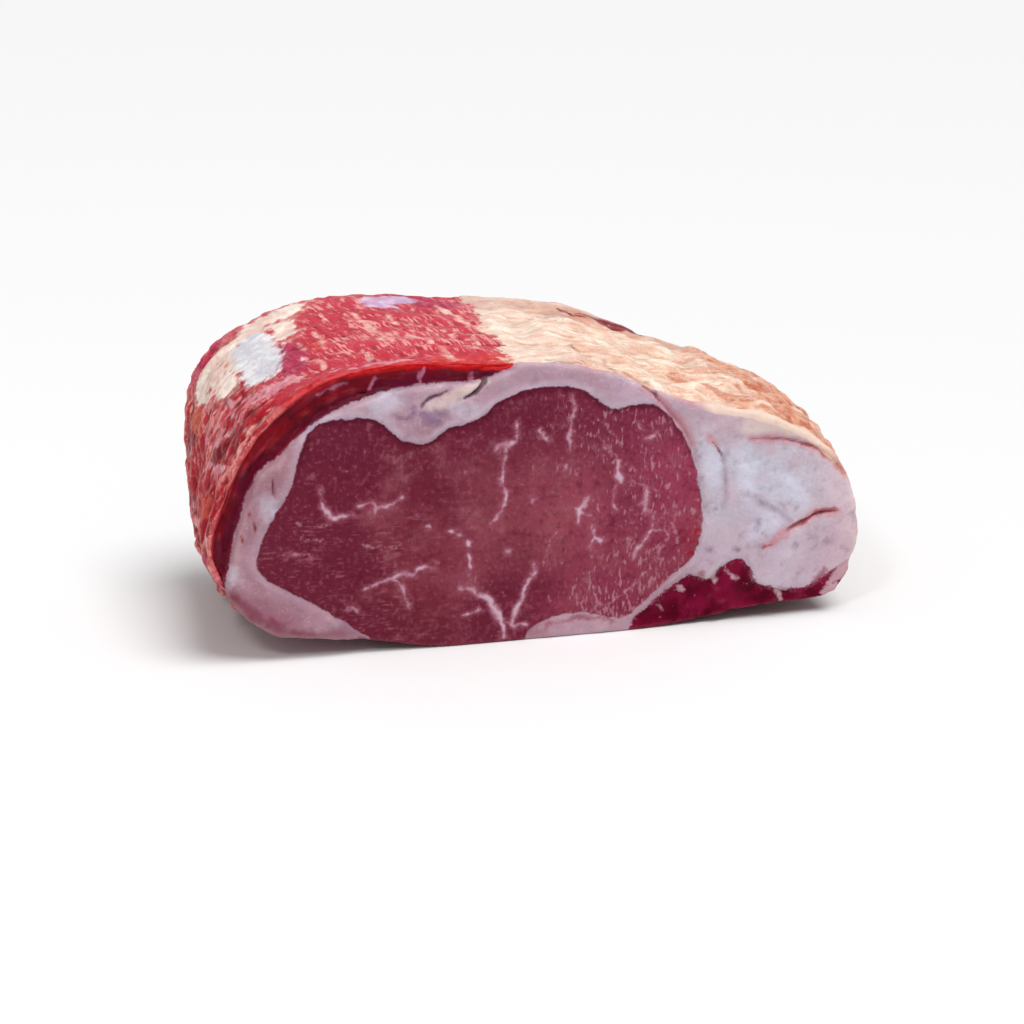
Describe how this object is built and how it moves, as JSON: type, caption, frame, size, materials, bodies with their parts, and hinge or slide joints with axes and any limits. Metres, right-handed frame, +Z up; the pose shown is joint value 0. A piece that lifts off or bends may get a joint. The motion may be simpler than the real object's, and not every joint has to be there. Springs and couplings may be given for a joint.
{
  "type": "beef sirloin",
  "caption": "Raw boneless beef sirloin joint with square-cut ends: marbled eye muscle, a fat cover round it, a red cap muscle over one shoulder and a dark tail muscle below.",
  "frame": {"origin": "under the middle of the joint, on the surface that it rests on", "axes": "+X along the wide cut face with the fat tail at +X, +Y from the front cut to the back cut, +Z up"},
  "size_m": [0.2332, 0.0981, 0.1054],
  "materials": {
    "eye_lean": "moist raw lean meat, dark rose red, with thin white marbling",
    "cap_lean": "moist raw lean meat, bright red, with cream streaks and pale silverskin",
    "tail_lean": "wet raw lean meat, deep crimson",
    "fat": "firm raw fat, pinkish white at the cuts, cream to tan on its outer side"
  },
  "bodies": {
    "root": {"eye_muscle": "eye_lean", "cap_muscle": "cap_lean", "tail_muscle": "tail_lean", "fat_cover": "fat"}
  },
  "joints": []
}
